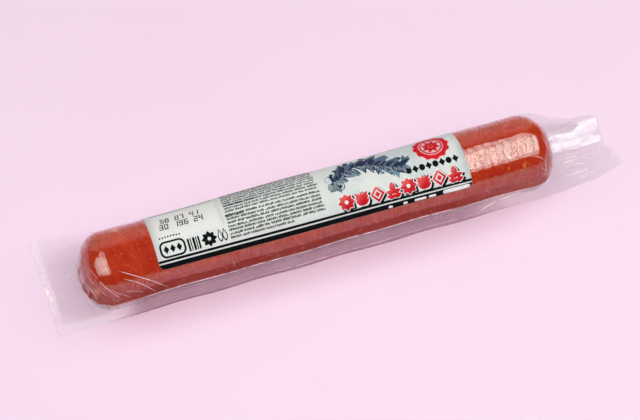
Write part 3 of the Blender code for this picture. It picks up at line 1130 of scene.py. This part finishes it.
def make_label():
    """The label's paper, with each ink as its own thin layer."""
    rng = random.Random(5)
    paper = paper_material("label_paper", (0.640, 0.665, 0.625), (0.555, 0.590, 0.565), PAPER_WASH)
    panel = paper_material("label_panel", (0.690, 0.690, 0.655), (0.640, 0.645, 0.620))
    black = ink_material("ink_black", (0.0012, 0.0020, 0.0028))
    grey = ink_material("ink_grey", (0.009, 0.010, 0.011))
    white = ink_material("ink_white", (0.74, 0.73, 0.73))
    red = ink_material("ink_red", (0.50, 0.008, 0.013), (0.78, 0.17, 0.155))
    pink = ink_material("ink_pink", (0.74, 0.34, 0.37))
    top = PAPER_THICKNESS + INK_LIFT
    layer = INK_THICKNESS + INK_LIFT

    def ink(name, shapes, level, material, tone=None):
        flat_sheet(name, shapes, top + level * layer, INK_THICKNESS, material, tone)

    outline = round_box(LABEL_LEFT, 0.0, LABEL_RIGHT, LABEL_HEIGHT, LABEL_CORNER, 8)
    flat_sheet("label", [[outline]], 0.0, PAPER_THICKNESS, paper)
    ink("print_panel", [[round_box(-100.2, 15.5, -61.0, 36.0, 0.3)]], 0, panel)
    ink("print_stripes", [[label_edges(0.05, 2.9, 0.05)], [label_edges(3.75, 5.15, 0.05)]], 0, black)
    dashes = [[round_box(a, 0.45, b, 1.75, 0.6)] for a, b in DASHES]
    dashes.append([round_box(59.7, 0.35, 75.4, 2.5, 1.0)])
    ink("print_dashes", dashes, 1, white)
    ink("print_marks", icon_row(), 0, black)
    ink("print_stamp", dot_stamp(("58 07 41", "30 196 24"), (-93.5, -95.0), (26.9, 22.2)), 1, black)
    lines = small_print(rng, -98.0, -63.0, 37.4, 1.2)
    for i, v in enumerate(LINE_HEIGHTS):
        lines += small_print(rng, -60.0 + 0.15 * i, -6.5 if i else -24.5, v, 1.42)
    ink("print_lines", lines, 0, grey)
    headings = small_print(rng, -59.5, -49.0, 19.0, 2.1, 0.95)
    headings += small_print(rng, -58.0, -40.0, 26.4, 1.5, 0.95)
    ink("print_headings", headings, 1, black)
    for name, shapes in garland(rng).items():
        level, tint = GARLAND_INKS[name]
        ink("print_garland_" + name, shapes, level, ink_material("ink_" + name, tint))
    dark, shade = seed_motif()
    ink("print_seeds", dark, 1, black)
    ink("print_seed_tint", shade, 0, ink_material("ink_seed", (0.22, 0.27, 0.25)))
    ink("print_seal_edge", seal_shapes(0.45), 0, pink)
    ink("print_seal", seal_shapes(0.0), 1, red)
    beads = []
    for k in range(8):
        x = 44.4 + 3.85 * k
        star = circle(x, BEADS_AT, 3.9, 4.8, 8, (1.0, 0.62))
        beads.append([star if k % 2 else circle(x, BEADS_AT, 3.4, 3.9, 14)])
    ink("print_beads", beads, 0, black)
    ink("print_row_shadow", red_row(0.45, 1.15, -0.90), 0, black)
    ink("print_row_edge", red_row(0.5), 1, white)
    ink("print_row", red_row(0.0), 2, red, red_tone)
    ink("print_row_centres", row_centres(), 3, white)


# The studio


def make_floor():
    """A plain pale pink floor."""
    bpy.ops.mesh.primitive_plane_add(size=9.0)
    floor = bpy.context.object
    floor.name = "floor"
    nodes = Nodes("floor_paper")
    colour = nodes.ramp(nodes.noise(3.0), (0.3, (0.80, 0.615, 0.745)), (0.7, (0.82, 0.64, 0.765)))
    floor.data.materials.append(nodes.surface(colour, 0.9, 0.1))


def add_light(name, size, place, turn, radiance, mirrored=False, shadows=True):
    """A rectangle of light that faces down, or this far from it about X. It lights, or is only mirrored."""
    light = bpy.data.lights.new(name, "AREA")
    light.shape = "RECTANGLE"
    light.size, light.size_y = size
    light.energy = radiance * math.pi * size[0] * size[1]
    light.color = MIRRORED_TINT if mirrored else (1.0, 1.0, 1.0)
    light.use_shadow = shadows
    light.cycles.use_multiple_importance_sampling = shadows
    lamp = bpy.data.objects.new(name, light)
    lamp.location = place
    lamp.rotation_euler = (math.radians(turn), 0.0, 0.0)
    lamp.visible_camera = False
    lamp.visible_diffuse = not mirrored
    lamp.visible_glossy = mirrored
    bpy.context.scene.collection.objects.link(lamp)


# The lamps that the film mirrors, each with a brighter core: name, size, place and radiance
LAMPS = (
    ("lamp_left", (3.70, 1.94), (-2.12, -0.35, 1.32), 2.4),
    ("lamp_right", (1.84, 1.94), (1.22, -0.35, 1.32), 3.2),
    ("core_left", (3.60, 1.20), (-2.12, -0.37, 1.34), 1.4),
    ("core_right", (1.76, 1.20), (1.22, -0.37, 1.34), 2.3),
)


def make_studio():
    """Soft light from above, a fill without shadows, and the lamps and walls that the film mirrors."""
    add_light("softbox", (5.0, 2.7), (0.3, -0.55, 1.90), 0.0, 1.00)
    add_light("fill", (5.0, 2.7), (0.3, -0.55, 1.94), 0.0, 1.20, shadows=False)
    for name, size, place, radiance in LAMPS:
        add_light(name, size, place, 0.0, radiance, mirrored=True)
    # Each wall is built up in three steps, so that it fades towards its top
    for k in range(3):
        behind, front = 2.2 + 0.65 * k, 0.42 + 0.17 * k
        back, ahead = (0.0, 2.0 + 0.02 * k, 0.5 * behind), (0.0, -2.6 - 0.02 * k, 0.5 * front)
        add_light("wall_behind_%d" % k, (4.4, behind), back, -90.0, 0.19, mirrored=True)
        add_light("wall_in_front_%d" % k, (6.0, front), ahead, 90.0, 0.27, mirrored=True)
    world = bpy.data.worlds.new("studio")
    world.use_nodes = True
    background = world.node_tree.nodes["Background"].inputs
    background["Color"].default_value = (0.92, 0.84, 0.90, 1.0)
    background["Strength"].default_value = 0.14
    world.cycles_visibility.glossy = False
    bpy.context.scene.world = world
    bpy.context.scene.view_settings.view_transform = "Standard"


def make_camera():
    data = bpy.data.cameras.new("camera")
    data.lens = LENS
    data.sensor_width = SENSOR
    data.clip_start = 0.05
    camera = bpy.data.objects.new("camera", data)
    camera.location = [part * MM for part in CAMERA_PLACE]
    camera.rotation_euler = Vector(CAMERA_AIM).to_track_quat("-Z", "Y").to_euler()
    bpy.context.scene.collection.objects.link(camera)
    bpy.context.scene.camera = camera


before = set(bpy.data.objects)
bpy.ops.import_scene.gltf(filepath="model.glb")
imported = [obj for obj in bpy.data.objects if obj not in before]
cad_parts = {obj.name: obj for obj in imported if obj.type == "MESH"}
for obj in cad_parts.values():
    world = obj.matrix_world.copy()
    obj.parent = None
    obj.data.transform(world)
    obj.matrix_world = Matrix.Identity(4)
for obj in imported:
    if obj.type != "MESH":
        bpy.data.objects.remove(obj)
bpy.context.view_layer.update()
make_meat()
film = film_material()
make_film("film_top", 1.0, film)
make_film("film_bottom", -1.0, film)
make_creases()
make_label()
make_floor()
make_studio()
make_camera()
